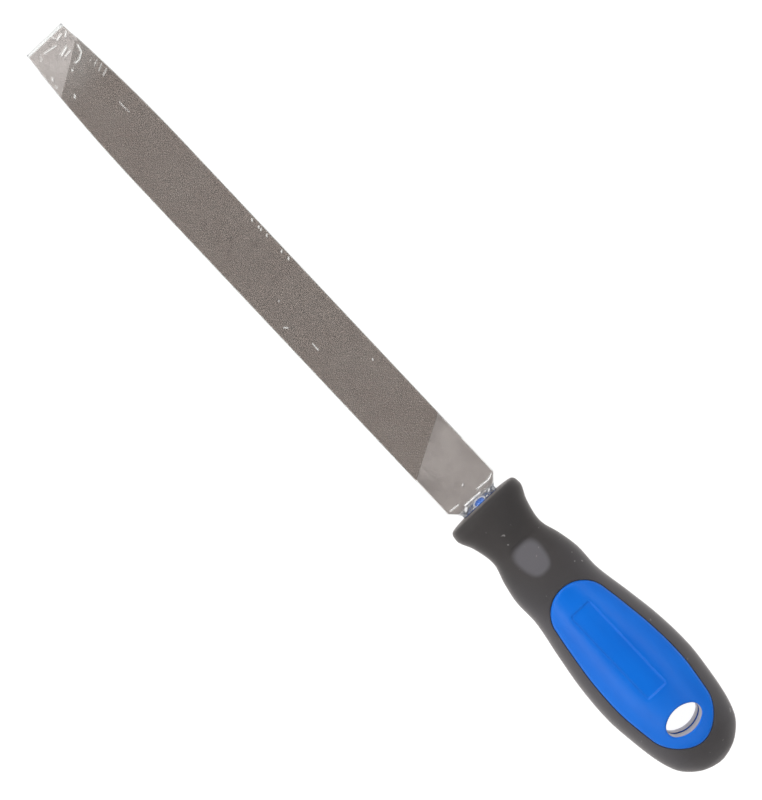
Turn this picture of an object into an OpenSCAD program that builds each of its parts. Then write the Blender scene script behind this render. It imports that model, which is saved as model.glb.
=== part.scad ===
// Flat file with a moulded two-component handle and a clear blade sleeve.
// Millimetres. X runs along the file towards its tip, Y across its width, and Z is normal to its cut faces.
// The drawing has the shoulders of the blade at x = 0, and place() moves it onto the centre of the whole.

/* [Blade] */
// Length from the shoulders to the tip
blade_len = 200; // [150:1:260]
// Width over the cut edges
blade_w = 20.3; // [17:0.1:25]
// Thickness over the cut faces
blade_t = 5; // [4:0.1:6.5]
// Width at the tip
tip_w = 15.4; // [12:0.1:17]
// Thickness at the tip
tip_t = 3.5; // [2.5:0.1:4]
// Length of the taper that ends at the tip
taper_len = 55; // [30:1:80]
// Height of the teeth over the smooth heel and tip
cut_rise = 0.25; // [0.1:0.05:0.4]
// Length of the smooth heel, on the centre line
heel_len = 20.5; // [10:0.5:30]
// Length of the smooth tip, on the centre line
smooth_tip_len = 11; // [6:0.5:20]
// Angle of the ends of the cut, from square across
cut_skew = 29; // [0:1:35]

/* [Tang] */
// Length from the shoulders to the end of the tang
tang_len = 64; // [45:1:78]
// Width where the shoulders end
tang_w = 11.4; // [9:0.1:12]
// Width at its end
tang_end_w = 5; // [3:0.1:7]
// How far each face drops over the shoulders
shoulder_drop = 0.25; // [0:0.05:0.5]
// Thickness at its end
tang_end_t = 2.6; // [2:0.1:3]

/* [Handle outline] */
// Length of the grip
handle_len = 113.5; // [100:0.5:150]
// Distance from the end of the shoulders back to the grip
shoulder_clear = 0.9; // [0.3:0.1:3]
// Width over the guard lobes
guard_w = 27.7; // [22:0.1:34]
// Thickness at the guard
guard_t = 19; // [16:0.1:24]
// Width at the neck
neck_w = 20.6; // [18:0.1:24]
// Thickness at the neck
neck_t = 16.6; // [14.5:0.1:20]
// Width at the waist in front of the belly
waist_w = 26.9; // [24:0.1:32]
// Thickness at the waist
waist_t = 21.4; // [18:0.1:25]
// Width at the belly
belly_w = 36; // [30:0.1:44]
// Thickness at the belly
belly_t = 25.4; // [20:0.1:32]

/* [Core] */
// Wall of the nose beside the tang
nose_wall = 1; // [0.6:0.1:2.4]
// Wall of the nose over and under the tang
nose_cover = 2.7; // [1.5:0.1:3.6]
// How far the nose stands out of the grip
nose_out = 2.7; // [1:0.1:4]
// Width of the grip beside the front of the window
rim_front = 3.6; // [3.2:0.1:6]
// Width of the grip beside the back of the window
rim_back = 4.7; // [3.6:0.1:7]
// Distance from the front of the grip to the window
window_from_front = 36.9; // [34:0.1:44]
// Distance from the window to the butt
window_to_butt = 9.7; // [7:0.1:14]
// How far the core stands proud of the grip in the window
panel_rise = 0.3; // [0.1:0.05:0.8]
// Width of the flange that locks the core in the grip
flange_w = 2.4; // [1:0.1:2.6]
// Thickness of the flange
flange_t = 5; // [3:0.1:8]
// Width of the label recess
label_w = 8; // [5:0.1:10]
// Depth of the label recess
label_depth = 0.5; // [0.2:0.05:1]
// Distance from the front of the grip to the label recess
label_from_front = 45.5; // [42:0.1:50]
// Distance from the label recess to the hang hole
label_to_hole = 8.4; // [3:0.1:15]

/* [Hang hole] */
// Length of the hole across the handle
hole_across = 13.2; // [9.6:0.1:15.9]
// Length of the hole along the handle
hole_along = 8.6; // [7:0.1:10.4]
// Radius of its two ends
hole_end_r = 3.2; // [2:0.1:3.9]
// Distance from its centre to the butt
hole_to_butt = 19.3; // [17:0.1:22]
// Depth of the groove round the middle of its wall
groove_depth = 0.5; // [0.2:0.05:0.8]
// Width of the groove
groove_w = 1.6; // [0.8:0.1:3]

/* [Thumb rests] */
// Distance from the front of the grip to a thumb rest
thumb_from_front = 17.7; // [15:0.1:20]
// Length of a thumb rest
thumb_len = 10.7; // [8:0.1:13]
// Width of a thumb rest
thumb_w = 12; // [8:0.1:13]
// How far the flat of a thumb rest lies under the face of the neck
thumb_sink = 0.1; // [0:0.05:0.8]

/* [Sleeve] */
// Thickness of the film
film_t = 0.25; // [0.2:0.05:0.5]
// Gap between the film and the blade, all round
film_gap = 0.3; // [0.2:0.05:0.6]
// Gap between the steel tip and the closed end
film_end_gap = 1; // [0.5:0.1:3]
// Gap between the mouth and the nose of the core
mouth_gap = 0.9; // [0.3:0.1:2.4]

/* [Fits] */
// Clearance between the tang and its socket
tang_fit = 0.05; // [0.02:0.01:0.2]

/* [Hidden] */
$fn = 64;
eps = 0.01;

heel_w = blade_w - 2 * cut_rise;
heel_t = blade_t - 2 * cut_rise;
tang_t = heel_t - 2 * shoulder_drop;
shoulder_len = (heel_w - tang_w) / 2;

nose_w = tang_w + 2 * nose_wall;
nose_t = tang_t + 2 * nose_cover;
bar_reach = 12;

grip_front = -shoulder_len - shoulder_clear;
grip_butt = grip_front - handle_len;
sleeve_mouth = grip_front + nose_out + mouth_gap;
sleeve_end = blade_len + film_end_gap + film_t;
middle_x = (sleeve_end + grip_butt) / 2;

taper_steps = 12;
taper_x = [for (i = [0 : taper_steps]) blade_len - taper_len * (1 - i / taper_steps)];

// Handle stations: distance behind the front, half-width, half-thickness.
// The front ones keep their distance from the front, and the rear ones keep theirs from the butt.
front_round = 2;
neck_at = 16.8;
swell_at = 31;
waist_at = 40.3;
belly_at = handle_len - 35;
rise_len = belly_at - waist_at;
rise_w = belly_w - waist_w;
rise_t = belly_t - waist_t;
front_stations = [for (a = [0 : 30 : 90])
    let (back = front_round * (1 - cos(a)), less = front_round * (1 - sin(a)))
    [back, guard_w / 2 - less, guard_t / 2 - less]];
stations = concat(front_stations, [
    [4.2, guard_w / 2, guard_t / 2],
    [9, neck_w / 2 + 0.4 * (guard_w - neck_w) / 2, neck_t / 2 + 0.4 * (guard_t - neck_t) / 2],
    [neck_at, neck_w / 2, neck_t / 2],
    [24, waist_w / 2 - 0.4 * (waist_w - neck_w) / 2, waist_t / 2 - 0.5 * (waist_t - neck_t) / 2],
    [swell_at, waist_w / 2, waist_t / 2 - 0.15 * (waist_t - neck_t) / 2],
    [waist_at, waist_w / 2, waist_t / 2],
    [waist_at + 0.33 * rise_len, (waist_w + 0.46 * rise_w) / 2, (waist_t + 0.45 * rise_t) / 2],
    [waist_at + 0.66 * rise_len, (waist_w + 0.86 * rise_w) / 2, (waist_t + 0.84 * rise_t) / 2],
    [belly_at, belly_w / 2, belly_t / 2],
    [handle_len - 25, belly_w / 2 - 0.9, belly_t / 2 - 0.7],
    [handle_len - 15, belly_w / 2 - 2.5, belly_t / 2 - 2],
    [handle_len - 8.7, belly_w / 2 - 4.5, belly_t / 2 - 3.6],
    [handle_len - 5.4, belly_w / 2 - 6.7, belly_t / 2 - 5.4],
    [handle_len - 2.2, belly_w / 2 - 10.5, belly_t / 2 - 8],
    [handle_len - 0.7, belly_w / 2 - 13.8, belly_t / 2 - 10.2],
    [handle_len, belly_w / 2 - 16.5, belly_t / 2 - 11.9]
]);
section_steps = 40;
section_power = 2.3;

// The window has elliptic ends of these lengths.
window_end = handle_len - window_to_butt;
front_end_len = 8.6;
back_end_len = 11;
end_step = 10;
middle_steps = 12;

// Slope of a table's column at row i, for a smooth curve through its rows.
function slope(t, i, col) =
    let (a = max(i - 1, 0), b = min(i + 1, len(t) - 1)) (t[b][col] - t[a][col]) / (t[b][0] - t[a][0]);

// Cubic between rows i and i + 1 of a table, at fraction u of the way.
function cubic(t, i, u, col) =
    let (d = t[i + 1][0] - t[i][0])
    t[i][col] * (1 + 2 * u) * (1 - u) ^ 2 + t[i + 1][col] * u ^ 2 * (3 - 2 * u)
    + d * slope(t, i, col) * u * (1 - u) ^ 2 - d * slope(t, i + 1, col) * u ^ 2 * (1 - u);

// The handle's half-width (column 1) or half-thickness (column 2) at s behind its front.
function half_size(s, col) =
    let (
        i = max([for (k = [0 : len(stations) - 2]) if (stations[k][0] <= s) k]),
        u = (s - stations[i][0]) / (stations[i + 1][0] - stations[i][0]))
    cubic(stations, i, u, col);

// The window's half-width at s behind the front, for a share of 1 where its ends don't round it.
function window_half(s, share) =
    let (back = (s - window_from_front) / (window_end - window_from_front))
    share * (half_size(s, 1) - rim_front - back * (rim_back - rim_front));

// A table's rows with the curve's own points between them.
function smooth(t, steps) = concat(
    [for (i = [0 : len(t) - 2], k = [0 : steps - 1])
        let (u = k / steps)
        [t[i][0] + u * (t[i + 1][0] - t[i][0]), for (col = [1 : len(t[0]) - 1]) cubic(t, i, u, col)]],
    [t[len(t) - 1]]);

// Half of what is left of a full size and a tip size, at x along the blade.
function taper(x, full, tip) =
    let (u = min(max((x - blade_len + taper_len) / taper_len, 0), 1)) (full - (full - tip) * u ^ 2) / 2;

// A closed outline from points of its upper side, mirrored in the X axis.
function both_sides(upper) = concat(upper, [for (i = [len(upper) - 1 : -1 : 0]) [upper[i][0], -upper[i][1]]]);

// Extrudes an XY outline evenly to both sides of the middle plane.
module plan(outline, thick) {
    linear_extrude(height = thick, center = true) polygon(outline);
}

// Extrudes an XZ outline evenly to both sides of the file's long plane.
module side(outline, wide) {
    rotate([90, 0, 0]) linear_extrude(height = wide, center = true) polygon(outline);
}

// The tapered body of the blade from x0 to x1, grown by g all round.
module blade_body(g, x0, x1) {
    xs = concat([x0], [for (x = taper_x) if (x > x0 && x < x1) x], [x1]);
    intersection() {
        plan(both_sides([for (x = xs) [x, taper(x, blade_w, tip_w) + g]]), 2 * blade_t);
        side(both_sides([for (x = xs) [x, taper(x, blade_t, tip_t) + g]]), 2 * blade_w);
    }
}

// Shoulders and tang, grown by g all round, as far forward as x1.
module tang_body(g, x1) {
    half_w = heel_w / 2 + g;
    half_t = heel_t / 2 + g;
    intersection() {
        plan(both_sides([
            [-tang_len - g, tang_end_w / 2 + g],
            [-shoulder_len, tang_w / 2 + g],
            [0, half_w],
            [x1, half_w]]), 2 * blade_t);
        side(both_sides([
            [-tang_len - g, tang_end_t / 2 + g],
            [-shoulder_len, tang_t / 2 + g],
            [0, half_t],
            [x1, half_t]]), 2 * blade_w);
    }
}

// The cut area of the upper face, between the slanting ends of the cut.
module cut_area() {
    half = blade_w / 2 + eps;
    lean = half * tan(cut_skew);
    heel_x = heel_len;
    end_x = blade_len - smooth_tip_len;
    linear_extrude(height = blade_t)
        polygon([
            [heel_x + lean, -half],
            [end_x + lean, -half],
            [end_x - lean, half],
            [heel_x - lean, half]]);
}

// The handle's outer skin, grown by g all round: a loft through smooth superelliptic sections.
module skin(g) {
    rows = smooth(stations, 2);
    n = section_steps;
    power = 2 / section_power;
    points = [for (row = rows, k = [0 : n - 1])
        let (a = 360 * k / n, c = cos(a), s = sin(a))
        [grip_front - row[0],
         (row[1] + g) * sign(c) * abs(c) ^ power,
         (row[2] + g) * sign(s) * abs(s) ^ power]];
    last = len(rows) - 1;
    walls = [for (i = [0 : last - 1], k = [0 : n - 1], half = [0, 1])
        let (a = i * n + k, b = i * n + (k + 1) % n)
        half == 0 ? [a, b, b + n] : [a, b + n, a + n]];
    front = [[for (k = [n - 1 : -1 : 0]) k]];
    butt = [[for (k = [0 : n - 1]) last * n + k]];
    polyhedron(points = points, faces = concat(walls, front, butt));
}

// The window's outline, grown by g, extruded to a thickness.
module window(g, thick) {
    middle_from = window_from_front + front_end_len;
    middle_to = window_end - back_end_len;
    upper = concat(
        [for (a = [end_step : end_step : 90 - end_step])
            let (s = middle_from - front_end_len * cos(a))
            [s - g * cos(a), window_half(s, sin(a)) + g * sin(a)]],
        [for (i = [0 : middle_steps])
            let (s = middle_from + (middle_to - middle_from) * i / middle_steps)
            [s, window_half(s, 1) + g]],
        [for (a = [90 - end_step : -end_step : end_step])
            let (s = middle_to + back_end_len * cos(a))
            [s + g * cos(a), window_half(s, sin(a)) + g * sin(a)]]);
    plan(both_sides([for (p = upper) [grip_front - p[0], p[1]]]), thick);
}

// The core's bar: from the nose, through the neck, into the window's column.
module core_bar() {
    front = grip_front + nose_out;
    back = grip_front - window_from_front - bar_reach;
    corner = nose_out;
    intersection() {
        linear_extrude(height = nose_t, center = true) {
            translate([back, -nose_w / 2]) square([front - corner - back, nose_w]);
            translate([back, corner - nose_w / 2]) square([front - back, nose_w - 2 * corner]);
            for (y = [corner - nose_w / 2, nose_w / 2 - corner]) translate([front - corner, y]) circle(corner);
        }
        rotate([90, 0, 0]) linear_extrude(height = 2 * nose_w, center = true) {
            translate([back, -nose_t / 2]) square([front - corner - back, nose_t]);
            translate([back, corner - nose_t / 2]) square([front - back, nose_t - 2 * corner]);
            for (z = [corner - nose_t / 2, nose_t / 2 - corner]) translate([front - corner, z]) circle(corner);
        }
    }
}

// An oval of four arcs, grown by g, extruded to a thickness. Its long way is across the handle.
module oval(g, thick) {
    a = hole_across / 2;
    b = hole_along / 2;
    reach = a - hole_end_r;
    side_r = (reach ^ 2 + b ^ 2 - hole_end_r ^ 2) / (2 * (b - hole_end_r));
    drop = side_r - b;
    joint_y = reach + hole_end_r * reach / (side_r - hole_end_r);
    translate([grip_butt + hole_to_butt, 0, 0])
        linear_extrude(height = thick, center = true) {
            for (y = [-reach, reach]) translate([0, y]) circle(hole_end_r + g);
            intersection() {
                translate([-drop, 0]) circle(side_r + g);
                translate([drop, 0]) circle(side_r + g);
                square([4 * b, 2 * joint_y], center = true);
            }
        }
}

// The flat cut of a thumb rest in the upper face: square at the front, round at the back.
module thumb_cut() {
    r = thumb_w / 2;
    front = grip_front - thumb_from_front;
    translate([0, 0, neck_t / 2 - thumb_sink]) linear_extrude(height = belly_t) {
        translate([front - thumb_len + r, 0]) circle(r);
        translate([front - thumb_len + r, -r]) square([thumb_len - r, thumb_w]);
    }
}

// What the label recesses take away on both faces: a shallow layer that follows the crown of the core.
module label_cut() {
    label_end = grip_butt + hole_to_butt + hole_along / 2 + label_to_hole;
    label_len = grip_front - label_from_front - label_end;
    difference() {
        translate([label_end, -label_w / 2, -belly_t])
            cube([label_len, label_w, 2 * belly_t]);
        skin(panel_rise - label_depth);
    }
}

// Draws its children, and again turned over about the file's long axis.
module both_faces() {
    children();
    rotate([180, 0, 0]) children();
}

// Puts the drawing's origin at the centre of the whole.
module place() {
    translate([-middle_x, 0, 0]) children();
}

module file_blade() {
    color([0.52, 0.48, 0.46])
        place() union() {
            tang_body(0, 2 * eps);
            blade_body(-cut_rise, 0, blade_len);
            both_faces() intersection() {
                blade_body(0, 0, blade_len);
                cut_area();
            }
        }
}

module handle_core() {
    color([0.0, 0.42, 0.84])
        place() difference() {
            union() {
                core_bar();
                window(flange_w, flange_t);
                intersection() {
                    window(0, 2 * belly_t);
                    skin(panel_rise);
                }
            }
            tang_body(tang_fit, blade_len / 2);
            oval(0, 2 * belly_t);
            oval(groove_depth, groove_w);
            label_cut();
        }
}

module handle_grip() {
    color([0.29, 0.28, 0.28])
        place() difference() {
            skin(0);
            window(0, 2 * belly_t);
            window(flange_w, flange_t);
            core_bar();
            both_faces() thumb_cut();
        }
}

module blade_sleeve() {
    color([0.9, 0.95, 0.93, 0.35])
        place() difference() {
            blade_body(film_gap + film_t, sleeve_mouth, sleeve_end);
            blade_body(film_gap, sleeve_mouth - 1, blade_len + film_end_gap);
        }
}

file_blade();
handle_core();
handle_grip();
blade_sleeve();
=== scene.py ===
"""Flat file with a moulded two-component handle and a clear film sleeve on its blade.

Shapes are worked out in millimetres along the drawing's own axis: x is 0 at the blade's shoulders and runs to
the tip, y is across the blade, z is normal to the cut faces. Build.mesh() turns them into metres in the CAD frame.
"""

import math

import bmesh
import bpy
import numpy as np
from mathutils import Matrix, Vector
from mathutils.geometry import delaunay_2d_cdt


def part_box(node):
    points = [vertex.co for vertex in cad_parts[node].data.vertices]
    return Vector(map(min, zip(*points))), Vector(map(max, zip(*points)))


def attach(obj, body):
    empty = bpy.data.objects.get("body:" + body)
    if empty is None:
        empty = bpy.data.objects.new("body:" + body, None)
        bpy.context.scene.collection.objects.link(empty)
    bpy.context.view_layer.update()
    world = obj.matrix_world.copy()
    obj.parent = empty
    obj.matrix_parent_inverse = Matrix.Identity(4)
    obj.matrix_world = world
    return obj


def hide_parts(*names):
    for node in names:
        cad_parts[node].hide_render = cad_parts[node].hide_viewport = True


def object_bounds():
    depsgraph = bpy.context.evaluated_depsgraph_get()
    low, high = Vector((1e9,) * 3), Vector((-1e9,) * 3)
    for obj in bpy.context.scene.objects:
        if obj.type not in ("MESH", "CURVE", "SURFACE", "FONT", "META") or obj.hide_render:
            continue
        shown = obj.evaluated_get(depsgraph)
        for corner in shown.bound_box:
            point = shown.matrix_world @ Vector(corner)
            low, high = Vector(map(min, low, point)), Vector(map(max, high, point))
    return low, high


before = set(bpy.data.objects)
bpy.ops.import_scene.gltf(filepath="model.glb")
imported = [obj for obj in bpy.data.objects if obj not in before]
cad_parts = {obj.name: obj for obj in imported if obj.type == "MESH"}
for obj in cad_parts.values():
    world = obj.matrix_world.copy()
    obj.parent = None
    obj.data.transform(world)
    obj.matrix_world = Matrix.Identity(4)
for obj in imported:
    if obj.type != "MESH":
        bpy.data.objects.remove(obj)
cad_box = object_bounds()
rng = np.random.default_rng(11)

MM = 0.001
BLADE_LEN = 200.0
SHOULDER_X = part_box("file_blade")[1].x / MM - BLADE_LEN
GRIP_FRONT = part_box("handle_grip")[1].x / MM - SHOULDER_X
HANDLE_LEN = GRIP_FRONT - (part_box("handle_grip")[0].x / MM - SHOULDER_X)
TOP_Z = cad_box[1].z / MM


# ---------------------------------------------------------------- helpers
def smoothstep(low, high, x):
    u = np.clip((np.asarray(x, float) - low) / (high - low), 0, 1)
    return u * u * (3 - 2 * u)


def grid_faces(rows, cols, close=False):
    """Quads of a rows by cols grid of points."""
    i, j = np.meshgrid(np.arange(rows - 1), np.arange(cols if close else cols - 1), indexing="ij")
    a = i * cols + j
    b = i * cols + (j + 1) % cols
    return np.stack([a, b, b + cols, a + cols], -1).reshape(-1, 4)


class Build:
    """Gathers points and faces in millimetres, then welds them into one mesh object."""

    def __init__(self):
        self.points, self.faces, self.count = [], [], 0

    def add(self, points, faces):
        points = np.asarray(points, float).reshape(-1, 3)
        self.points.append(points)
        self.faces.extend((np.asarray(f) + self.count).tolist() for f in faces)
        self.count += len(points)

    def grid(self, points, close=False):
        points = np.asarray(points, float)
        self.add(points.reshape(-1, 3), grid_faces(points.shape[0], points.shape[1], close))

    def mirrored(self):
        """The same shapes again, turned half a turn about the long axis."""
        turned = [p * (1, -1, -1) for p in self.points]
        faces = [[v + self.count for v in f] for f in self.faces]
        self.points += turned
        self.faces += faces
        self.count *= 2

    def mesh(self, name, weld=0.002):
        points = (np.concatenate(self.points) + (SHOULDER_X, 0, 0)) * MM
        data = bpy.data.meshes.new(name)
        data.from_pydata(points.tolist(), [], self.faces)
        bm = bmesh.new()
        bm.from_mesh(data)
        bmesh.ops.remove_doubles(bm, verts=bm.verts, dist=weld * MM)
        bmesh.ops.dissolve_degenerate(bm, edges=bm.edges, dist=weld * MM / 4)
        bmesh.ops.recalc_face_normals(bm, faces=bm.faces)
        bm.to_mesh(data)
        bm.free()
        return data


def coords(data):
    """A mesh's vertices back in millimetres along the drawing's axis."""
    co = np.empty(len(data.vertices) * 3)
    data.vertices.foreach_get("co", co)
    return co.reshape(-1, 3) / MM - (SHOULDER_X, 0, 0)


def attribute(data, name, values):
    layer = data.attributes.new(name, "FLOAT", "POINT")
    layer.data.foreach_set("value", np.asarray(values, np.float32))


def piece(name, data, material, body, nodes=(), smooth=None):
    obj = bpy.data.objects.new(name, data)
    bpy.context.scene.collection.objects.link(obj)
    data.materials.append(material)
    data.polygons.foreach_set("use_smooth", [smooth is not None] * len(data.polygons))
    if smooth is not None:
        data.set_sharp_from_angle(angle=math.radians(smooth))
    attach(obj, body)
    if nodes:
        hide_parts(*nodes)
    return obj


# ---------------------------------------------------------------- the handle's own shape
SECTION_POWER = 2.3
PANEL_RISE = 0.3
WINDOW_FROM, WINDOW_TO = 36.9, HANDLE_LEN - 9.7
FRONT_END, BACK_END = 8.6, 11.0
HOLE_AT = HANDLE_LEN - 19.3
GUARD, NECK, WAIST, BELLY = (27.7, 19.0), (20.6, 16.6), (26.9, 21.4), (36.0, 25.4)


def handle_stations():
    """Rows of distance behind the front, half-width and half-thickness."""
    mix = lambda a, b, u: [(p + (q - p) * v) / 2 for p, q, v in zip(a, b, u)]
    rows = []
    for angle in (0, 30, 60, 90):
        less = 2 * (1 - math.sin(math.radians(angle)))
        rows.append([2 * (1 - math.cos(math.radians(angle))), GUARD[0] / 2 - less, GUARD[1] / 2 - less])
    waist_at, belly_at = 40.3, HANDLE_LEN - 35
    rise = belly_at - waist_at
    rows += [
        [4.2] + mix(GUARD, NECK, (0, 0)),
        [9] + mix(GUARD, NECK, (0.6, 0.6)),
        [16.8] + mix(NECK, NECK, (0, 0)),
        [24] + mix(NECK, WAIST, (0.6, 0.5)),
        [31] + mix(NECK, WAIST, (1, 0.85)),
        [waist_at] + mix(WAIST, WAIST, (0, 0)),
        [waist_at + 0.33 * rise] + mix(WAIST, BELLY, (0.46, 0.45)),
        [waist_at + 0.66 * rise] + mix(WAIST, BELLY, (0.86, 0.84)),
        [belly_at] + mix(BELLY, BELLY, (0, 0)),
    ]
    butt = [(25, 0.9, 0.7), (15, 2.5, 2), (8.7, 4.5, 3.6), (5.4, 6.7, 5.4),
            (2.2, 10.5, 8), (0.7, 13.8, 10.2), (0, 16.5, 11.9)]
    rows += [[HANDLE_LEN - b, BELLY[0] / 2 - w, BELLY[1] / 2 - t] for b, w, t in butt]
    return np.array(rows)


STATIONS = handle_stations()


def half_size(s, col):
    """The handle's half-width (col 1) or half-thickness (2) at s behind its front: a smooth curve."""
    t = STATIONS
    s = np.clip(np.asarray(s, float), 0, t[-1, 0])
    i = np.clip(np.searchsorted(t[:, 0], s, side="right") - 1, 0, len(t) - 2)
    low, high = np.maximum(i - 1, 0), np.minimum(i + 2, len(t) - 1)
    d = t[i + 1, 0] - t[i, 0]
    u = (s - t[i, 0]) / d
    m0 = (t[i + 1, col] - t[low, col]) / (t[i + 1, 0] - t[low, 0])
    m1 = (t[high, col] - t[i, col]) / (t[high, 0] - t[i, 0])
    value = (
        t[i, col] * (1 + 2 * u) * (1 - u) ** 2 + t[i + 1, col] * u**2 * (3 - 2 * u)
        + d * m0 * u * (1 - u) ** 2 - d * m1 * u**2 * (1 - u)
    )
    return np.minimum(value, BELLY[col - 1] / 2 - 0.01)


def skin_z(s, y, grow=0.0):
    """Height of the handle's skin, grown by grow, over a point s behind its front and y off its middle."""
    w, t = half_size(s, 1) + grow, half_size(s, 2) + grow
    share = np.clip(np.abs(y) / w, 0, 1)
    return t * (1 - share**SECTION_POWER) ** (1 / SECTION_POWER)


def skin_angle(s, y):
    """The section angle, in radians from the side, at which the skin is y off the middle."""
    share = np.clip(np.abs(y) / half_size(s, 1), 0, 1)
    return np.arccos(share ** (SECTION_POWER / 2))


def skin_point(s, angle):
    c, n = np.cos(angle), np.sin(angle)
    power = 2 / SECTION_POWER
    y = half_size(s, 1) * np.maximum(c, 0) ** power
    z = half_size(s, 2) * np.maximum(n, 0) ** power
    return np.stack([GRIP_FRONT - s, y, z], -1)


def window_outline(ends=22, middle=64):
    """The window's outline on the +Y side, front to back: points (s, y) and their outward normals."""
    a, b = WINDOW_FROM + FRONT_END, WINDOW_TO - BACK_END
    turn = np.radians(np.linspace(0, 90, ends + 1))
    s = np.concatenate([a - FRONT_END * np.cos(turn), np.linspace(a, b, middle + 1)[1:-1],
                        b + BACK_END * np.cos(turn[::-1])])
    share = np.concatenate([np.sin(turn), np.ones(middle - 1), np.sin(turn[::-1])])
    back = (s - WINDOW_FROM) / (WINDOW_TO - WINDOW_FROM)
    y = share * (half_size(s, 1) - 3.6 - back * 1.1)
    line = np.stack([s, y], -1)
    way = np.gradient(line, axis=0)
    normal = np.stack([-way[:, 1], way[:, 0]], -1)
    normal[0], normal[-1] = (-1, 0), (1, 0)
    return line, normal / np.linalg.norm(normal, axis=1)[:, None]


OUTLINE, OUTWARD = window_outline()


def round_drop(radius, distance):
    """How far a rounded edge lies under its face, at a distance in from the wall."""
    d = np.clip(distance, 0, radius)
    return radius - np.sqrt(np.maximum(radius**2 - (radius - d) ** 2, 0))


# ---------------------------------------------------------------- the blade's own shape
# How far the smooth ends lie under the tops of the teeth, on the faces and on the edges.
HEEL_LOSS, EDGE_LOSS = 0.25, 0.17
CUT_FROM, CUT_TO = 20.5, 189.0
CUT_LEAN = math.tan(math.radians(29))
TOOTH_DEPTH = 0.17
BLADE_W, BLADE_T = 20.3, 5.0
TAPER_LEN, TAPER_W, TAPER_T = 55, 4.9, 1.5


def taper(x):
    """0 on the parallel part of the blade, rising to 1 at the tip."""
    return np.clip((np.asarray(x, float) - BLADE_LEN + TAPER_LEN) / TAPER_LEN, 0, 1) ** 2


def half_w(x):
    return (BLADE_W - TAPER_W * taper(x)) / 2


def half_t(x):
    return (BLADE_T - TAPER_T * taper(x)) / 2


# ---------------------------------------------------------------- materials
def new_material(name):
    material = bpy.data.materials.new(name)
    material.use_nodes = True
    tree = material.node_tree
    tree.nodes.clear()
    return material, tree


def node(tree, kind, **settings):
    made = tree.nodes.new(kind)
    for key, value in settings.items():
        if key in made.inputs:
            made.inputs[key].default_value = value
        else:
            setattr(made, key, value)
    return made


def link(tree, source, target):
    tree.links.new(source, target)


def shader_out(tree, shader):
    out = node(tree, "ShaderNodeOutputMaterial")
    link(tree, shader, out.inputs["Surface"])


def scaled_coords(tree, scale):
    """Object coordinates, stretched per axis."""
    source = node(tree, "ShaderNodeTexCoord")
    mapping = node(tree, "ShaderNodeMapping")
    mapping.inputs["Scale"].default_value = scale
    link(tree, source.outputs["Object"], mapping.inputs["Vector"])
    return mapping.outputs["Vector"]


def noise(tree, vector, scale, detail=3.0, rough=0.55):
    made = node(tree, "ShaderNodeTexNoise", Scale=scale, Detail=detail, Roughness=rough)
    link(tree, vector, made.inputs["Vector"])
    return made.outputs["Fac"]


def ranged(tree, value, low, high, to_low, to_high):
    made = node(tree, "ShaderNodeMapRange")
    for key, number in zip(("From Min", "From Max", "To Min", "To Max"), (low, high, to_low, to_high)):
        made.inputs[key].default_value = number
    link(tree, value, made.inputs["Value"])
    return made.outputs["Result"]


def blend_colour(tree, fac, first, second):
    made = node(tree, "ShaderNodeMix", data_type="RGBA")
    for socket, value in ((made.inputs[0], fac), (made.inputs[6], first), (made.inputs[7], second)):
        if isinstance(value, bpy.types.NodeSocket):
            link(tree, value, socket)
        elif isinstance(value, (int, float)):
            socket.default_value = value
        else:
            socket.default_value = (*value, 1)
    return made.outputs[2]


def math_node(tree, operation, *values):
    made = node(tree, "ShaderNodeMath", operation=operation)
    for socket, value in zip(made.inputs, values):
        if isinstance(value, bpy.types.NodeSocket):
            link(tree, value, socket)
        else:
            socket.default_value = value
    return made.outputs[0]


def named(tree, name):
    return node(tree, "ShaderNodeAttribute", attribute_name=name).outputs["Fac"]


def bump(tree, height, strength, distance):
    made = node(tree, "ShaderNodeBump", Strength=strength, Distance=distance)
    link(tree, height, made.inputs["Height"])
    return made.outputs["Normal"]


def principled(tree, **settings):
    made = node(tree, "ShaderNodeBsdfPrincipled")
    for key, value in settings.items():
        socket = made.inputs[key.replace("_", " ")]
        if isinstance(value, bpy.types.NodeSocket):
            link(tree, value, socket)
        else:
            socket.default_value = value
    return made


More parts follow.
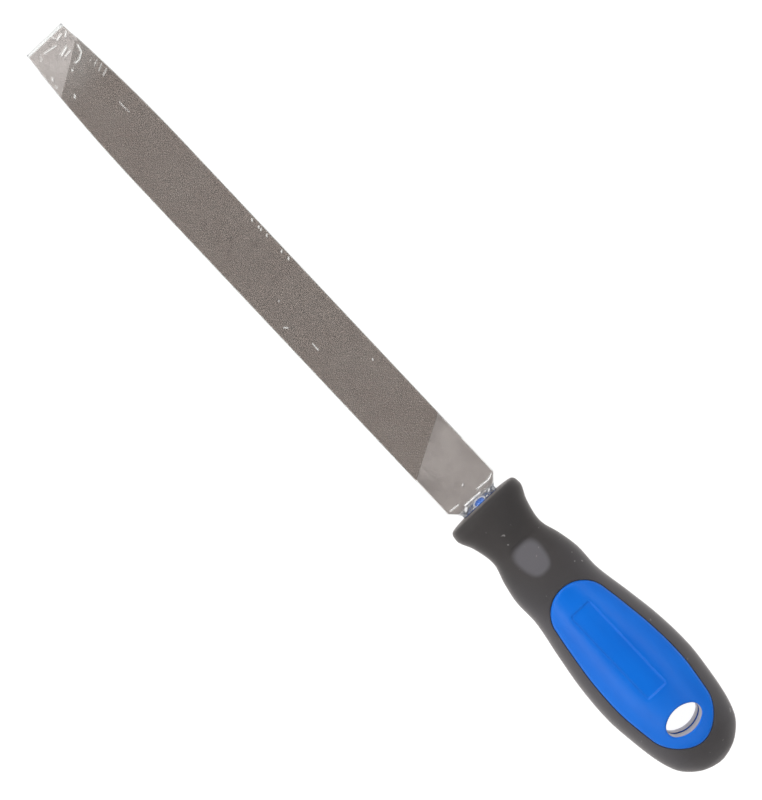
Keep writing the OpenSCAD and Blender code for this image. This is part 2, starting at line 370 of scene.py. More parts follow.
def steel_material():
    """Hardened file steel: ground lines on the smooth ends; the teeth darker, with painted shade deepening toward
    the bottoms of their grooves, and dark smears of dust.
    """
    material, tree = new_material("file_steel")
    plain = scaled_coords(tree, (1, 1, 1))
    ground = scaled_coords(tree, (60, 2600, 900))
    lines = noise(tree, ground, 1.0, 4.0, 0.6)
    clouds = noise(tree, plain, 90.0, 3.0, 0.6)
    specks = noise(tree, plain, 1500.0, 2.0, 0.7)
    cut, groove = named(tree, "cut"), named(tree, "groove")
    base = blend_colour(tree, ranged(tree, clouds, 0.3, 0.7, 0, 1),
                        (0.425, 0.37, 0.357), (0.475, 0.42, 0.405))
    base = blend_colour(tree, ranged(tree, specks, 0.62, 0.8, 0, 0.35), base, (0.24, 0.21, 0.19))
    # Painted shade: a darker colour toward the bottoms of the grooves between the teeth.
    painted_groove_shade = blend_colour(tree, ranged(tree, clouds, 0.25, 0.75, 0, 1),
                         (0.20, 0.16, 0.145), (0.23, 0.192, 0.175))
    ridge = blend_colour(tree, ranged(tree, clouds, 0.25, 0.75, 0, 1),
                         (0.243, 0.20, 0.18), (0.285, 0.24, 0.22))
    teeth = blend_colour(tree, groove, ridge, painted_groove_shade)
    smears = noise(tree, plain, 260.0, 3.0, 0.7)
    patches = noise(tree, plain, 22.0, 1.0, 0.5)
    dirty = math_node(tree, "MULTIPLY", ranged(tree, smears, 0.56, 0.66, 0, 0.35),
                      ranged(tree, patches, 0.52, 0.66, 0, 1))
    teeth = blend_colour(tree, dirty, teeth, (0.16, 0.125, 0.115))
    colour = blend_colour(tree, cut, base, teeth)
    rough = math_node(tree, "ADD", ranged(tree, lines, 0.3, 0.7, 0.34, 0.46),
                      ranged(tree, clouds, 0.3, 0.7, -0.03, 0.05))
    rough = math_node(tree, "ADD", rough, math_node(tree, "MULTIPLY", cut, 0.14))
    normal = bump(tree, lines, 0.35, 0.00002)
    shader = principled(tree, Base_Color=colour, Metallic=1.0, Roughness=rough, Normal=normal)
    shader_out(tree, shader.outputs[0])
    return material


def grip_material():
    """Soft thermoplastic rubber with a fine spark-eroded grain."""
    material, tree = new_material("soft_grip")
    plain = scaled_coords(tree, (1, 1, 1))
    grain = noise(tree, plain, 3200.0, 3.0, 0.6)
    clouds = noise(tree, plain, 70.0, 4.0, 0.6)
    tint = noise(tree, plain, 38.0, 2.0, 0.5)
    # Painted highlight and sheen: the attribute turns the rubber paler on the thumb rests, the belly and the butt.
    painted_highlight = named(tree, "painted_highlight")
    base = blend_colour(tree, ranged(tree, clouds, 0.3, 0.7, 0, 1),
                        (0.0185, 0.0165, 0.0172), (0.0292, 0.0267, 0.0272))
    base = blend_colour(tree, ranged(tree, tint, 0.4, 0.65, 0, 0.5), base, (0.030, 0.0252, 0.0240))
    flecks = noise(tree, plain, 520.0, 1.0, 0.4)
    colour = blend_colour(tree, painted_highlight, base, (0.088, 0.084, 0.094))
    colour = blend_colour(tree, ranged(tree, flecks, 0.745, 0.775, 0, 0.7), colour, (0.20, 0.19, 0.19))
    rough = math_node(tree, "ADD", ranged(tree, grain, 0.3, 0.7, 0.50, 0.64),
                      ranged(tree, clouds, 0.3, 0.7, -0.05, 0.05))
    normal = bump(tree, grain, 0.30, 0.00006)
    shader = principled(tree, Base_Color=colour, Roughness=rough, Normal=normal)
    shader.inputs["Specular IOR Level"].default_value = 0.30
    shader.inputs["Sheen Weight"].default_value = 0.34
    shader.inputs["Sheen Roughness"].default_value = 0.42
    shader.inputs["Sheen Tint"].default_value = (1.0, 0.93, 0.90, 1)
    shader_out(tree, shader.outputs[0])
    return material


def core_material():
    """Saturated blue polypropylene: smooth, with faint flow marks and hairline scratches."""
    material, tree = new_material("hard_plastic")
    plain = scaled_coords(tree, (1, 1, 1))
    flow = noise(tree, scaled_coords(tree, (30, 90, 90)), 1.0, 3.0, 0.55)
    fine = noise(tree, plain, 900.0, 3.0, 0.6)
    hair = noise(tree, scaled_coords(tree, (140, 2600, 400)), 1.0, 2.0, 0.5)
    colour = blend_colour(tree, ranged(tree, flow, 0.3, 0.7, 0, 1),
                          (0.0002, 0.106, 0.51), (0.0005, 0.131, 0.585))
    # Painted reflection: the hang hole's wall, but for its groove, is coloured a pale grey-lavender.
    bore_painted_reflection = named(tree, "bore_painted_reflection")
    pale = blend_colour(tree, ranged(tree, flow, 0.3, 0.7, 0, 1), (0.36, 0.34, 0.42), (0.44, 0.42, 0.50))
    colour = blend_colour(tree, bore_painted_reflection, colour, pale)
    scratches = ranged(tree, hair, 0.66, 0.72, 0, 1)
    rough = math_node(tree, "ADD", ranged(tree, fine, 0.3, 0.7, 0.28, 0.36),
                      math_node(tree, "MULTIPLY", scratches, 0.12))
    normal = bump(tree, fine, 0.06, 0.00004)
    shader = principled(tree, Base_Color=colour, Roughness=rough, Normal=normal)
    shader.inputs["Specular IOR Level"].default_value = 0.22
    shader_out(tree, shader.outputs[0])
    return material


def film_material():
    """Thin clear film with a faint gloss. One attribute says how much diffuse layer it has: its faint haze,
    painted glints and painted light. Another says how much of that layer is grey painted shade.
    """
    material, tree = new_material("clear_film")
    plain = scaled_coords(tree, (1, 1, 1))
    crinkle = noise(tree, scaled_coords(tree, (260, 420, 420)), 1.0, 3.0, 0.55)
    haze_and_painted_light = named(tree, "haze_and_painted_light")
    mottle = noise(tree, plain, 700.0, 3.0, 0.6)
    normal = bump(tree, crinkle, 0.35, 0.0004)
    facing = node(tree, "ShaderNodeLayerWeight", Blend=0.5)
    link(tree, normal, facing.inputs["Normal"])
    grazing = math_node(tree, "MULTIPLY", math_node(tree, "POWER", facing.outputs["Facing"], 5.0), 0.35)
    mirrored = math_node(tree, "ADD", grazing, 0.035)
    clear = node(tree, "ShaderNodeBsdfTransparent")
    clear.inputs["Color"].default_value = (0.990, 0.996, 0.993, 1)
    gloss = node(tree, "ShaderNodeBsdfGlossy", Roughness=0.10)
    link(tree, normal, gloss.inputs["Normal"])
    mirror = node(tree, "ShaderNodeMixShader")
    link(tree, mirrored, mirror.inputs[0])
    link(tree, clear.outputs[0], mirror.inputs[1])
    link(tree, gloss.outputs[0], mirror.inputs[2])
    milk_and_painted_light = node(tree, "ShaderNodeBsdfDiffuse")
    shade = blend_colour(tree, named(tree, "film_painted_shade"), (0.97, 0.975, 0.965), (0.16, 0.165, 0.185))
    link(tree, shade, milk_and_painted_light.inputs["Color"])
    painted_light_and_haze_share = math_node(tree, "MULTIPLY", haze_and_painted_light, ranged(tree, mottle, 0.3, 0.7, 0.6, 1.0))
    both = node(tree, "ShaderNodeMixShader")
    link(tree, painted_light_and_haze_share, both.inputs[0])
    link(tree, mirror.outputs[0], both.inputs[1])
    link(tree, milk_and_painted_light.outputs[0], both.inputs[2])
    shader_out(tree, both.outputs[0])
    return material


def floor_material():
    material, tree = new_material("studio_floor")
    plain = scaled_coords(tree, (1, 1, 1))
    paper = noise(tree, plain, 3.0, 2.0, 0.5)
    colour = blend_colour(tree, ranged(tree, paper, 0.3, 0.7, 0, 1), (0.14, 0.14, 0.14), (0.15, 0.15, 0.15))
    shader = principled(tree, Base_Color=colour, Roughness=0.9)
    shader.inputs["Specular IOR Level"].default_value = 0.1
    shader.inputs["Emission Color"].default_value = (1, 1, 1, 1)
    shader.inputs["Emission Strength"].default_value = 0.97
    shader_out(tree, shader.outputs[0])
    return material


# ---------------------------------------------------------------- steel
def rounded_ring(width, height, radius, steps=3):
    """Points of a rounded rectangle, anticlockwise from the +Y side."""
    points = []
    for sy, sz, start in ((1, 1, 0), (-1, 1, 90), (-1, -1, 180), (1, -1, 270)):
        for a in np.radians(start + np.linspace(0, 90, steps + 1)):
            points.append((sy * (width - radius) + radius * math.cos(a),
                           sz * (height - radius) + radius * math.sin(a)))
    return np.array(points)


def rings_to(build, xs, rings):
    """Lofts rings of (y, z) at each x, and closes both ends."""
    grid = np.array([[(x, y, z) for y, z in ring] for x, ring in zip(xs, rings)])
    build.grid(grid, close=True)
    n = grid.shape[1]
    build.add(grid[0], [list(range(n))])
    build.add(grid[-1], [list(range(n))])


def blank(build):
    """The forging under the teeth: tang, shoulders, smooth heel, body and smooth tip."""
    xs, rings = [], []

    def row(x, w, t, radius):
        xs.append(x)
        rings.append(rounded_ring(w, t, min(radius, w * 0.45, t * 0.45)))

    row(-64.0, 2.1, 0.9, 0.2)
    row(-63.5, 2.55, 1.3, 0.3)
    for x in np.linspace(-58, -8, 11):
        u = (x + 64) / 59.8
        row(x, 2.5 + 3.2 * u, 1.3 + 0.7 * u, 0.35)
    row(-4.2, 5.7, 2.0, 0.25)
    row(0.0, 9.97, 2.25, 0.18)
    for x in list(range(4, 144, 10)) + list(np.linspace(145, 199.7, 23)):
        row(x, half_w(x) - EDGE_LOSS, half_t(x) - HEEL_LOSS, 0.18)
    row(199.9, half_w(199.9) - EDGE_LOSS - 0.06, half_t(199.9) - HEEL_LOSS - 0.06, 0.2)
    row(200.0, half_w(200) - EDGE_LOSS - 0.22, half_t(200) - HEEL_LOSS - 0.22, 0.2)
    rings_to(build, xs, rings)


def plate_from(points, faces, limit, sink):
    """Cuts a sheet off at y = +-limit, and closes it with a skirt and an underside at height sink."""
    bm = bmesh.new()
    made = [bm.verts.new(p) for p in points]
    for f in faces:
        bm.faces.new([made[v] for v in f])
    for side in (1, -1):
        geom = bm.verts[:] + bm.edges[:] + bm.faces[:]
        bmesh.ops.bisect_plane(bm, geom=geom, plane_co=(0, side * limit, 0), plane_no=(0, side, 0),
                               clear_outer=True, dist=1e-5)
    rim = [e for e in bm.edges if len(e.link_faces) == 1]
    out = bmesh.ops.extrude_edge_only(bm, edges=rim)["geom"]
    for v in (g for g in out if isinstance(g, bmesh.types.BMVert)):
        v.co.z = sink
    lower = [g for g in out if isinstance(g, bmesh.types.BMEdge) and len(g.link_faces) == 1]
    bmesh.ops.contextual_create(bm, geom=lower)
    bmesh.ops.triangulate(bm, faces=[f for f in bm.faces if len(f.verts) > 4], ngon_method="EAR_CLIP")
    bm.verts.index_update()
    points = np.array([v.co for v in bm.verts])
    faces = [[v.index for v in f.verts] for f in bm.faces]
    bm.free()
    return points, faces


def face_teeth(build):
    """Double-cut teeth on the two faces: chisel points leaning to the tip, between two sets of grooves."""
    rows, step, lean = 227, 1.18, 1.0
    pitch = (CUT_TO - CUT_FROM) / rows
    edge = half_w(0) - 0.05
    p = np.sort(np.concatenate([np.arange(rows + 1.0), np.arange(rows) + 0.8]))
    q = np.arange(-8, 172, 0.5)
    pp, qq = np.meshgrid(p, q, indexing="ij")
    along, across = CUT_FROM + pitch * pp, step * qq
    y = (along - across) / (CUT_LEAN + lean)
    x = along - CUT_LEAN * y
    on_ridge, on_crest = (pp % 1) > 0.5, (qq % 1) > 0.25
    height = np.where(on_ridge, np.where(on_crest, 0.0, -0.5), np.where(on_crest, -0.72, -1.0)) * TOOTH_DEPTH
    height = np.where(on_ridge & on_crest, height - rng.uniform(0, 0.02, height.shape), height)
    keep = np.abs(y) < edge + 1.6
    quads = grid_faces(*y.shape)
    quads = quads[keep.reshape(-1)[quads].all(axis=1)]
    used, quads = np.unique(quads, return_inverse=True)
    flat = np.stack([x, y, height], -1).reshape(-1, 3)[used]
    points, faces = plate_from(flat, quads.reshape(-1, 4), edge, -0.5)
    narrow = half_w(points[:, 0]) / half_w(0)
    points[:, 1] *= narrow
    points[:, 2] += half_t(points[:, 0])
    build.add(points, faces)
    build.add(points * (1, -1, -1), faces)


def edge_teeth(build):
    """Single-cut teeth on the two narrow edges, in an upper and a lower half where the cut's ends lean."""
    pitch, depth, lean = 0.72, 0.13, math.tan(math.radians(18))
    reach = CUT_LEAN * half_w(0)
    for side in (1, -1):
        for up in (1, -1):
            start = CUT_FROM - side * up * reach
            end = CUT_TO - side * up * reach
            rows = int((end - start) / pitch)
            p = np.sort(np.concatenate([np.arange(rows + 1.0), np.arange(rows) + 0.78]))
            z = up * np.array([0.0, 0.8, 1.6, 2.3, 2.43])
            pp, zz = np.meshgrid(p, z, indexing="ij")
            x = start + pitch * pp - lean * np.abs(zz)
            x = np.clip(x, start, end)
            height = np.where(pp % 1 > 0.5, 0.0, -depth) - 0.07 * (np.abs(zz) > 2.4)
            flat = np.stack([x, zz, height], -1).reshape(-1, 3)
            points, faces = plate_from(flat, grid_faces(*zz.shape), 5, -0.5)
            x, z, h = points.T
            y = side * (half_w(x) - 0.02 + h)
            build.add(np.stack([x, y, z * half_t(x) / half_t(0)], -1), faces)


def make_steel():
    build = Build()
    blank(build)
    face_teeth(build)
    edge_teeth(build)
    data = build.mesh("file_blade_steel", weld=0.0005)
    x, y, z = coords(data).T
    over_y, over_z = np.abs(y) - (half_w(x) - EDGE_LOSS), np.abs(z) - (half_t(x) - HEEL_LOSS)
    cut = (x > 5) & ((over_y > 0.004) | (over_z > 0.004))
    fall = np.where(over_z > 0.004, half_t(x) - np.abs(z), half_w(x) - np.abs(y))
    attribute(data, "cut", cut)
    attribute(data, "groove", np.clip(fall / TOOTH_DEPTH, 0, 1))
    piece("file_blade_steel", data, steel_material(), "file", ["file_blade"])


# ---------------------------------------------------------------- core
def loop_grid(s, y, z):
    return np.stack([GRIP_FRONT - s, y, z], -1)


def closed_outline(grow):
    """The window's outline grown by grow, all the way round."""
    line = OUTLINE + OUTWARD * grow
    line[0, 1] = line[-1, 1] = 0
    return np.concatenate([line, (line * (1, -1))[-2:0:-1]])


def hole_outline(grow, steps=96):
    """The hang hole's oval of four arcs, grown by grow: points (s, y)."""
    a, b, r = HOLE_ACROSS, HOLE_ALONG, HOLE_END_R
    reach = a - r
    side_r = (reach**2 + b**2 - r**2) / (2 * (b - r))
    drop = side_r - b
    joint = math.atan2(reach, drop)
    quarter = steps // 4
    side = np.linspace(0, joint, quarter // 2 + 1)[:-1]
    end = np.linspace(joint, math.pi / 2, quarter // 2 + 1)
    first = np.stack([-drop + (side_r + grow) * np.cos(side), (side_r + grow) * np.sin(side)], -1)
    second = np.stack([(r + grow) * np.cos(end), reach + (r + grow) * np.sin(end)], -1)
    q = np.concatenate([first, second])
    half = np.concatenate([q, (q * (-1, 1))[-2::-1]])
    full = np.concatenate([half, (half * (1, -1))[-2:0:-1]])
    return full * (-1, 1) + (HOLE_AT, 0)


def label_outline(grow, steps=5):
    """The label recess, a rounded rectangle, grown by grow: points (s, y)."""
    front, back = LABEL_FROM - grow, HOLE_AT - HOLE_ALONG - LABEL_GAP + grow
    half, r = LABEL_HALF + grow, LABEL_R + grow
    points = []
    for cs, cy, start in ((back - r, half - r, 0), (front + r, half - r, 90), (front + r, r - half, 180),
                          (back - r, r - half, 270)):
        for a in np.radians(start + np.linspace(0, 90, steps)):
            points.append((cs + r * math.cos(a), cy + r * math.sin(a)))
    points = np.array(points)
    dense = []
    for p, q in zip(points, np.roll(points, -1, axis=0)):
        n = max(1, int(round(np.linalg.norm(q - p) / 0.9))) if np.linalg.norm(q - p) > 1.5 else 1
        dense += [p + (q - p) * k / n for k in range(n)]
    return np.array(dense)


def inside(points, loop):
    """True for each point inside a closed loop, by crossings."""
    x, y = points[:, 0][:, None], points[:, 1][:, None]
    x0, y0 = loop.T
    x1, y1 = np.roll(loop, -1, axis=0).T
    crosses = (y0 > y) != (y1 > y)
    at = x0 + (y - y0) * (x1 - x0) / np.where(y1 == y0, 1e-12, y1 - y0)
    return (crosses & (x < at)).sum(1) % 2 == 1


def fill(loops, spacing, margin):
    """Triangulates the region inside the first loop and outside the others, with a grid of inner points."""
    outer = loops[0]
    low, high = outer.min(0), outer.max(0)
    gx, gy = np.meshgrid(np.arange(low[0], high[0], spacing), np.arange(low[1], high[1], spacing),
                         indexing="ij")
    gx = gx + 0.5 * spacing * (np.arange(gy.shape[1]) % 2)[None, :]
    grid = np.stack([gx, gy], -1).reshape(-1, 2)
    ok = inside(grid, outer)
    for loop in loops[1:]:
        ok &= ~inside(grid, loop)
    ring = np.concatenate(loops)
    grid = grid[ok]
    near = np.sqrt(((grid[:, None, :] - ring[None, :, :]) ** 2).sum(-1)).min(1)
    grid = grid[near > margin]
    points, edges, at = [], [], 0
    for loop in loops:
        n = len(loop)
        points += loop.tolist()
        edges += [(at + k, at + (k + 1) % n) for k in range(n)]
        at += n
    points += grid.tolist()
    out = delaunay_2d_cdt([Vector(p) for p in points], edges, [], 0, 1e-7)
    verts = np.array([tuple(v) for v in out[0]])
    tris = np.array([tuple(f) for f in out[2]])
    middle = verts[tris].mean(1)
    ok = inside(middle, outer)
    for loop in loops[1:]:
        ok &= ~inside(middle, loop)
    return verts, tris[ok]


# The gap between the core's panel and the grip's lip.
PANEL_GAP = 0.05
# Depth and half-height of the groove round the hang hole's wall. The CAD's is 0.5 deep and 1.6 high.
GROOVE_DEEP, GROOVE_HALF = 1.1, 1.9
# Radii of the rounded edges: the panel's rim, and the hang hole's mouth.
RIM_ROUND, HOLE_ROUND = 0.85, 0.8
# The hang hole: half its width across the handle, half its length along it, and the radius of its narrow ends.
HOLE_ACROSS, HOLE_ALONG, HOLE_END_R = 6.6, 4.3, 3.2
# The label recess: where it starts, its gap to the hang hole, half its width and its corner radius.
LABEL_FROM, LABEL_GAP, LABEL_HALF, LABEL_R = 45.5, 8.4, 4.0, 0.8


def crown(s, y):
    return np.minimum(skin_z(s, y, PANEL_RISE), TOP_Z - 0.005)


def panel(build):
    """One crowned window face of the core: rounded rim, the hang hole's rounded mouth, label recess."""
    def strips(loops, drops):
        grid = [loop_grid(l[:, 0], l[:, 1], crown(l[:, 0], l[:, 1]) - d) for l, d in zip(loops, drops)]
        build.grid(np.array(grid), close=True)

    turn = np.radians(np.linspace(0, 90, 8))
    rim_in = RIM_ROUND * (1 - np.cos(turn))
    strips([closed_outline(-PANEL_GAP - d) for d in rim_in], [round_drop(RIM_ROUND, d) for d in rim_in])
    hole_in = HOLE_ROUND * (1 - np.cos(turn))
    strips([hole_outline(d) for d in hole_in], [round_drop(HOLE_ROUND, d) for d in hole_in])
    label = [(0.45, 0.0), (0.28, 0.03), (0.12, 0.12), (-0.04, 0.27), (-0.2, 0.40), (-0.38, 0.48),
             (-0.55, 0.5)]
    strips([label_outline(g) for g, _ in label], [d for _, d in label])
    top = [closed_outline(-PANEL_GAP - RIM_ROUND), hole_outline(HOLE_ROUND), label_outline(label[0][0])]
    verts, tris = fill(top, 0.8, 0.45)
    build.add(loop_grid(verts[:, 0], verts[:, 1], crown(verts[:, 0], verts[:, 1])), tris)
    verts, tris = fill([label_outline(label[-1][0])], 0.7, 0.4)
    build.add(loop_grid(verts[:, 0], verts[:, 1], crown(verts[:, 0], verts[:, 1]) - label[-1][1]), tris)


def core_walls(build):
    """The core's outer wall, and the wall of the hang hole with the groove round its middle."""
    ring = closed_outline(-PANEL_GAP)
    z = crown(ring[:, 0], ring[:, 1]) - RIM_ROUND
    wall = [loop_grid(ring[:, 0], ring[:, 1], z * k) for k in (1, 0.72, -0.72, -1)]
    flange = closed_outline(0.4)
    middle = [loop_grid(flange[:, 0], flange[:, 1], z * k) for k in (0.68, 0, -0.68)]
    build.grid(np.array(wall[:2] + middle + wall[2:]), close=True)
    upper = []
    ring = hole_outline(0)
    z = crown(ring[:, 0], ring[:, 1]) - HOLE_ROUND
    edge = GROOVE_HALF + 0.12
    for k in np.linspace(1, 0, 6):
        upper.append((ring, edge + (z - edge) * k))
    for deep, height in ((0.14, 1.0), (0.86, 0.9), (1.0, 0.6)):
        upper.append((hole_outline(deep * GROOVE_DEEP), np.full(len(ring), height * GROOVE_HALF)))
    rows = upper + [(r, -h) for r, h in upper[::-1]]
    build.grid(np.array([loop_grid(r[:, 0], r[:, 1], h) for r, h in rows]), close=True)


def make_core(material):
    build = Build()
    panel(build)
    build.mirrored()
    core_walls(build)
    data = build.mesh("handle_core_panel", weld=0.003)
    x, y, z = coords(data).T
    s = GRIP_FRONT - x
    near = ((s - HOLE_AT) / 5.4) ** 2 + (y / 7.7) ** 2 < 1
    deep = np.abs(z) < crown(s, y) - 0.55 * HOLE_ROUND
    # Painted reflection: marks the hang hole's wall, above and below its groove, for the pale colour.
    attribute(data, "bore_painted_reflection", near & deep & (np.abs(z) > GROOVE_HALF + 0.02))
    piece("handle_core_panel", data, material, "file", ["handle_core"], smooth=38)


def make_nose(material):
    """The core's nose and the bar behind it, with the socket that the tang fills."""
    out, width, height = 2.45, 6.7, 4.7
    build = Build()
    xs, rings = [], []
    for ahead in np.cos(np.radians(np.linspace(14, 90, 12))):
        w, t = width * (1 - ahead) ** 0.5, height * (1 - ahead**2) ** 0.6
        xs.append(GRIP_FRONT + out * ahead)
        rings.append(rounded_ring(w, t, min(1.1, 0.45 * w, 0.45 * t), 5))
    xs += [GRIP_FRONT - 20, GRIP_FRONT - 35.6]
    rings += [rounded_ring(width, height, 1.1, 5)] * 2
    rings_to(build, xs, rings)
    data = build.mesh("handle_core_nose")
    tang = Build()
    socket = ((2.6, 1.4), (5.75, 2.05), (13, 2.41))
    rings_to(tang, [-64.2, -4.2, 3], [rounded_ring(w, t, 0.12, 2) for w, t in socket])
    cutter = bpy.data.objects.new("socket_shape", tang.mesh("socket_shape"))
    bpy.context.scene.collection.objects.link(cutter)
    obj = piece("handle_core_nose", data, material, "file", smooth=38)
    cut = obj.modifiers.new("socket", "BOOLEAN")
    cut.operation, cut.solver, cut.object = "DIFFERENCE", "EXACT", cutter
    done = bpy.data.meshes.new_from_object(obj.evaluated_get(bpy.context.evaluated_depsgraph_get()))
    obj.modifiers.clear()
    obj.data = done
    bpy.data.objects.remove(cutter)
    done.set_sharp_from_angle(angle=math.radians(38))


# ---------------------------------------------------------------- grip
# The radius of the window's lip, the half-width and half-height of the tunnel round the nose, and a thumb rest's
# front, back and half-width.
LIP = 0.6
TUNNEL = (6.78, 4.78)
REST_FROM, REST_TO, REST_HALF = 17.6, 28.4, 6.0


def rest_cut(s, y, z):
    """Lowers the skin to a thumb rest: a plane that rises to the back, narrowing to a round end there."""
    plane = 7.72 + (s - REST_FROM) * 0.215
    r = 5.0
    narrow = REST_HALF - 0.12 * np.clip(s - 18, 0, 9)
    centre = REST_TO - r
    beyond = np.maximum(np.abs(y) - narrow, 0)
    back = np.hypot(np.maximum(s - centre, 0), np.maximum(np.abs(y) - (narrow - r), 0)) - r
    off = np.where(s > centre, np.maximum(back, 0), beyond)
    off = np.maximum(off, 1.4 * np.maximum(REST_FROM - s, 0))
    plane = plane + 3.0 * smoothstep(0.0, 2.4, off)
    soft = 0.24
    return z - soft * np.logaddexp(0, (z - plane) / soft)


def make_grip(material):
    cols = 38
    v = np.linspace(0, 1, cols + 1)
    front = np.concatenate([2 * (1 - np.cos(np.radians(np.linspace(0, 80, 9)))), np.linspace(2.0, 36.6, 76)])
    rear = np.concatenate([np.linspace(WINDOW_TO + 0.4, HANDLE_LEN - 2.4, 18),
                           HANDLE_LEN - 2.2 * (1 - np.linspace(0, 1, 12)) ** 1.6])
    edge = OUTLINE + OUTWARD * LIP
    edge[0, 1] = edge[-1, 1] = 0
    n = len(OUTLINE)
    side = np.interp(np.arange(n), [0, 22, n - 23, n - 1],
                     [WINDOW_FROM, WINDOW_FROM + FRONT_END, WINDOW_TO - BACK_END, WINDOW_TO])
    rows_side = np.concatenate([front, side, rear])
    top = np.concatenate([front - LIP * smoothstep(28, WINDOW_FROM, front), edge[:, 0],
                          rear + LIP * (1 - smoothstep(WINDOW_TO, WINDOW_TO + 6, rear))])
    top = np.minimum(top, HANDLE_LEN)
    top_angle = np.concatenate([np.full(len(front), math.pi / 2), skin_angle(edge[:, 0], edge[:, 1]),
                                np.full(len(rear), math.pi / 2)])
    s = rows_side[:, None] + (top - rows_side)[:, None] * v[None, :] ** 2
    angle = top_angle[:, None] * v[None, :]
    skin = skin_point(s, angle)
    z = rest_cut(s, skin[..., 1], skin[..., 2])
    reach = smoothstep(11, 15, s) * (1 - smoothstep(31, 33, s))
    skin[..., 2] = skin[..., 2] + (z - skin[..., 2]) * reach
    skin[:, 0, 2] = 0

    lip = []
    for a in np.radians(np.linspace(0, 90, 7)[1:]):
        grow = LIP * (1 - math.sin(a))
        line = OUTLINE + OUTWARD * grow
        line[0, 1] = line[-1, 1] = 0
        height = skin_z(line[:, 0], line[:, 1]) - LIP * (1 - math.cos(a))
        lip.append(loop_grid(line[:, 0], line[:, 1], height))
    wall = lip[-1]
    for share in (0.75, 0.4, 0.0):
        lip.append(wall * (1, 1, share))
    lip = np.array([skin[len(front):len(front) + n, -1]] + lip)

    # The front face: from the skin's first row in to the nose's tunnel, which ends blind behind it.
    first = skin[0]
    tunnel = []
    for _, y, z in first:
        scale = min(TUNNEL[0] / max(y, 1e-9), TUNNEL[1] / max(z, 1e-9))
        tunnel.append((y * scale, z * scale))
    tunnel = np.array(tunnel)
    outer = first[:, 1:]
    face = []
    front_rows = ((0, 0), (0.25, 0.16), (0.5, 0.26), (0.75, 0.3), (0.88, 0.32), (0.95, 0.44), (0.985, 0.46),
                  (1, 0.38), (1, -0.6), (1, -34.6))
    for share, x in front_rows:
        ring = outer + (tunnel - outer) * share
        face.append(np.column_stack([np.full(len(ring), GRIP_FRONT + x), ring]))
    blind = np.array(face[-1])
    for share in (0.5, 0.0):
        face.append(blind * (1, share, share))
    end = skin[-1]
    butt = np.array([end * (1, k, k) for k in (1, 0.5, 0.0)])

    build = Build()
    for grid in (skin, lip, np.array(face), butt):
        for sy in (1, -1):
            for sz in (1, -1):
                build.grid(grid * (1, sy, sz))
    data = build.mesh("handle_grip_skin", weld=0.004)
    x, y, z = coords(data).T
    s = GRIP_FRONT - x
    # Painted highlight: a paler oval on the flat of each thumb rest.
    wide = 5.9 - 0.12 * np.clip(s - 18, 0, 9)
    power = 2.6
    off = (np.abs((s - 23.6) / 6.5) ** power + np.abs(y / wide) ** power) ** (1 / power)
    painted_highlight = (1 - smoothstep(0.70, 1.10, off)) * (np.abs(z) > 5)
    # The photo shows the belly and butt paler than the neck, so they are coloured paler.
    # Painted sheen: paler over the belly and butt, and paler still toward their sides.
    painted_sheen = smoothstep(14, 44, s) * (0.20 + 0.25 * smoothstep(5, 13, np.abs(y)))
    attribute(data, "painted_highlight", np.maximum(painted_highlight, painted_sheen))
    piece("handle_grip_skin", data, material, "file", ["handle_grip"], smooth=50)


# ---------------------------------------------------------------- film sleeve
# Creases of the film over the upper face: each is a polyline of (x, y), its half-width, its height, and how white
# its painted glint is (0 to 1). The lower face gets the same ones, flipped and a little flatter.
CREASES = [
    ([(-0.1, -9.0), (-0.6, -7.9), (-0.8, -6.9), (-0.65, -4.7), (-0.6, -2.6)], 0.34, 0.26, 1.0),
    ([(-1.95, -2.3), (-1.9, 0.8), (-1.75, 4.0)], 0.38, 0.26, 1.0),
    ([(-0.05, 5.5), (0.1, 8.6)], 0.28, 0.20, 0.9),
    ([(3.7, -0.3), (3.5, 0.3)], 0.32, 0.12, 0.5),
    ([(-2.6, 4.4), (-3.0, 5.1)], 0.60, 0.10, 0.9),
    ([(-3.1, -5.2), (-3.5, -4.5)], 0.28, 0.10, 0.9),
    ([(-4.1, -3.4), (-4.2, -2.9)], 0.24, 0.10, 0.8),
    ([(-4.2, 2.5), (-4.3, 3.1)], 0.26, 0.10, 0.8),
    ([(197.4, 2.9), (196.6, -1.5)], 0.28, 0.22, 0.9),
    ([(197.9, -3.1), (198.2, -5.1)], 0.38, 0.26, 1.0),
    ([(197.8, -7.0), (196.8, -5.7)], 0.28, 0.20, 0.9),
    ([(193.2, -0.8), (194.0, -3.5)], 0.42, 0.28, 1.0),
    ([(192.1, -1.4), (192.4, -3.8)], 0.28, 0.20, 0.8),
    ([(192.0, -6.8), (189.8, -6.2), (189.0, -5.2), (188.3, -3.8), (188.3, -2.4)], 0.32, 0.26, 1.0),
    ([(199.3, -2.4), (198.7, -2.7)], 0.28, 0.16, 0.7),
    ([(197.6, 4.6), (196.2, 5.2)], 0.30, 0.16, 0.3),
    ([(189.7, 6.6), (189.3, 7.0)], 0.32, 0.20, 0.9),
    ([(186.9, 7.4), (186.6, 7.8)], 0.28, 0.16, 0.7),
    ([(187.4, -0.1), (187.1, 0.3)], 0.26, 0.16, 0.6),
    ([(180.8, 5.1), (180.3, 5.6)], 0.34, 0.20, 0.9),
    ([(169.3, -3.9), (164.8, -4.0)], 0.22, 0.14, 0.4),
    ([(80.1, 7.4), (79.1, 6.4)], 0.24, 0.14, 0.8),
    ([(69.9, 4.1), (67.2, 4.2)], 0.24, 0.14, 0.8),
    ([(87.6, 2.5), (87.2, 2.8)], 0.26, 0.12, 0.5),
    ([(53.2, -6.7), (52.8, -6.4)], 0.26, 0.12, 0.7),
]
